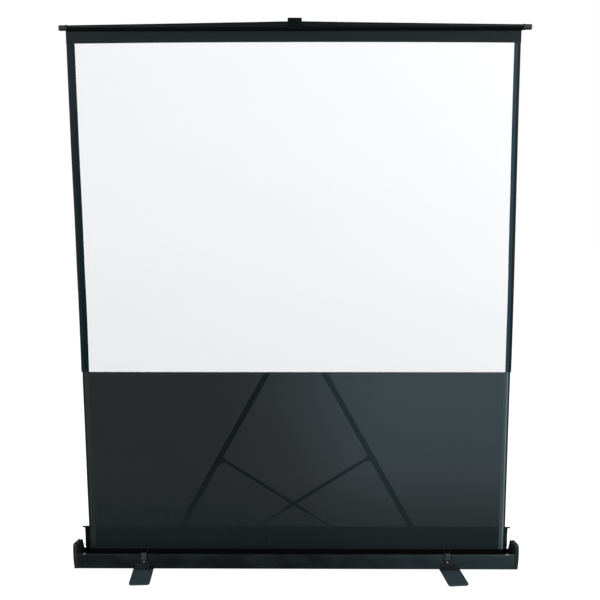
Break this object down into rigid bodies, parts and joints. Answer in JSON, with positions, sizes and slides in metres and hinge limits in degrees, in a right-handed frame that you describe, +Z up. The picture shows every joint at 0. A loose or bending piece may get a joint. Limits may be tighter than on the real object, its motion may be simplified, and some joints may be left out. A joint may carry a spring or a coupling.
{
  "type": "portable floor projector screen",
  "caption": "Pull-up projection screen that rises from a long floor case on crossed folding arms with gas struts, with a see-through black drop, swivel feet, latches and a hinged lid.",
  "frame": {"origin": "centre of the bounding box on the floor, in the plane of the picture sheet", "axes": "+X to the viewer's right, +Y away from the viewer, +Z up"},
  "size_m": [1.768, 0.344, 2.131],
  "materials": {
    "case_metal": "black anodised satin",
    "cap_plastic": "black, fine texture",
    "steel": "black",
    "arm_paint": "black satin",
    "foot_metal": "dark blue grey",
    "pad_rubber": "matt",
    "zinc": "zinc plated",
    "rod_steel": "polished",
    "lever": "grey",
    "tube_aluminium": "plain",
    "white_cloth": "matt white front",
    "black_cloth": "black weave"
  },
  "bodies": {
    "base": {"case_trough": "case_metal", "end_cap_left": "cap_plastic", "end_cap_right": "cap_plastic", "cap_screw_left": "zinc", "cap_screw_right": "zinc", "lid_hinge_rail": "case_metal", "lid_hinge_rod": "steel", "latch_base_left": "steel", "latch_base_right": "steel", "latch_rivet_left": "zinc", "latch_rivet_right": "zinc", "foot_mount_left": "steel", "foot_mount_right": "steel", "foot_bolt_left": "zinc", "foot_bolt_right": "zinc", "roller_bracket_left": "steel", "roller_bracket_right": "steel", "arm_bracket_left": "steel", "arm_bracket_right": "steel", "strut_bracket_left": "steel", "strut_bracket_right": "steel", "picture_sheet": "white_cloth", "drop_sheet": "black_cloth"},
    "lid": {"lid_panel": "case_metal", "lid_end_left": "cap_plastic", "lid_end_right": "cap_plastic", "lid_keeper_left": "steel", "lid_keeper_right": "steel"},
    "roller": {"roller_tube": "tube_aluminium", "wound_cloth": "black_cloth", "roller_plug_left": "cap_plastic", "roller_plug_right": "cap_plastic", "roller_spring": "steel"},
    "foot_left": {"foot_left": "foot_metal", "foot_pad_left_front": "pad_rubber", "foot_pad_left_rear": "pad_rubber"},
    "foot_right": {"foot_right": "foot_metal", "foot_pad_right_front": "pad_rubber", "foot_pad_right_rear": "pad_rubber"},
    "latch_left": {"latch_lever_left": "lever"},
    "latch_right": {"latch_lever_right": "lever"},
    "bail_left": {"latch_bail_left": "steel"},
    "bail_right": {"latch_bail_right": "steel"},
    "lower_left": {"lower_arm_left": "arm_paint", "strut_lug_left": "steel", "elbow_pin_left": "zinc"},
    "lower_right": {"lower_arm_right": "arm_paint", "strut_lug_right": "steel", "elbow_pin_right": "zinc"},
    "upper_left": {"upper_arm_left": "arm_paint"},
    "upper_right": {"upper_arm_right": "arm_paint"},
    "rod_left": {"gas_rod_left": "rod_steel"},
    "rod_right": {"gas_rod_right": "rod_steel"},
    "cylinder_left": {"gas_cylinder_left": "arm_paint"},
    "cylinder_right": {"gas_cylinder_right": "arm_paint"},
    "top_bar": {"top_bar": "case_metal", "bar_end_left": "cap_plastic", "bar_end_right": "cap_plastic", "top_hub": "steel", "pull_grip": "cap_plastic"}
  },
  "joints": [
    {"name": "fold", "type": "hinge", "parent": "base", "child": "lower_left", "pos_m": [-0.52457, 0.011, 0.048], "axis": [0, 1, 0], "range_deg": [0, 61], "deforming": ["picture_sheet", "drop_sheet"]},
    {"name": "lower_arm_right", "type": "hinge", "parent": "base", "child": "lower_right", "pos_m": [0.52457, 0.036, 0.048], "axis": [0, 1, 0], "range_deg": [-61, 0]},
    {"name": "elbow_left", "type": "hinge", "parent": "lower_left", "child": "upper_left", "pos_m": [0.14419, 0.0235, 1.25448], "axis": [0, 1, 0], "range_deg": [-140.38, 0]},
    {"name": "elbow_right", "type": "hinge", "parent": "lower_right", "child": "upper_right", "pos_m": [-0.14419, 0.0235, 1.25448], "axis": [0, 1, 0], "range_deg": [0, 140.38]},
    {"name": "hub", "type": "hinge", "parent": "upper_left", "child": "top_bar", "pos_m": [0.0135, 0.0235, 2.086], "axis": [0, 1, 0], "range_deg": [0, 79.38]},
    {"name": "strut_left_turn", "type": "hinge", "parent": "base", "child": "rod_left", "pos_m": [0.34962, 0.0235, 0.024], "axis": [0, 1, 0], "range_deg": [-32.83, 0]},
    {"name": "strut_right_turn", "type": "hinge", "parent": "base", "child": "rod_right", "pos_m": [-0.34962, 0.0484, 0.024], "axis": [0, 1, 0], "range_deg": [0, 32.83]},
    {"name": "strut_left_slide", "type": "slide", "parent": "rod_left", "child": "cylinder_left", "axis": [-0.8404, 0, 0.5419], "range_m": [-0.33275, 0]},
    {"name": "strut_right_slide", "type": "slide", "parent": "rod_right", "child": "cylinder_right", "axis": [0.8404, 0, 0.5419], "range_m": [-0.33275, 0]},
    {"name": "roller_spin", "type": "hinge", "parent": "base", "child": "roller", "pos_m": [0, -0.02205, 0.037], "axis": [1, 0, 0], "range_deg": [-4700, 0]},
    {"name": "lid", "type": "hinge", "parent": "base", "child": "lid", "pos_m": [0, 0.0655, 0.054], "axis": [1, 0, 0], "range_deg": [-35, 0]},
    {"name": "foot_left", "type": "hinge", "parent": "base", "child": "foot_left", "pos_m": [-0.61007, 0, 0.005], "axis": [0, 0, 1], "range_deg": [-3.5, 86.5]},
    {"name": "foot_right", "type": "hinge", "parent": "base", "child": "foot_right", "pos_m": [0.61007, 0, 0.005], "axis": [0, 0, 1], "range_deg": [-6, 84]},
    {"name": "latch_left", "type": "hinge", "parent": "base", "child": "latch_left", "pos_m": [-0.60207, -0.056, 0.056], "axis": [1, 0, 0], "range_deg": [0, 170]},
    {"name": "bail_left", "type": "hinge", "parent": "latch_left", "child": "bail_left", "pos_m": [-0.60207, -0.0538, 0.0735], "axis": [1, 0, 0], "range_deg": [-20, 60]},
    {"name": "latch_right", "type": "hinge", "parent": "base", "child": "latch_right", "pos_m": [0.60207, -0.056, 0.056], "axis": [1, 0, 0], "range_deg": [0, 170]},
    {"name": "bail_right", "type": "hinge", "parent": "latch_right", "child": "bail_right", "pos_m": [0.60207, -0.0538, 0.0735], "axis": [1, 0, 0], "range_deg": [-20, 60]}
  ],
  "couplings": [
    {"joint": "lower_arm_right", "follows": "fold", "ratio": -1},
    {"joint": "elbow_left", "follows": "fold", "ratio": -2.3011},
    {"joint": "elbow_right", "follows": "fold", "ratio": 2.3011},
    {"joint": "hub", "follows": "fold", "ratio": 1.3011},
    {"joint": "strut_left_turn", "follows": "fold", "ratio": -0.53797},
    {"joint": "strut_right_turn", "follows": "fold", "ratio": 0.53797},
    {"joint": "strut_left_slide", "follows": "fold", "m_per_rad": -0.3125},
    {"joint": "strut_right_slide", "follows": "fold", "m_per_rad": -0.3125},
    {"joint": "roller_spin", "follows": "fold", "ratio": -76.5}
  ]
}
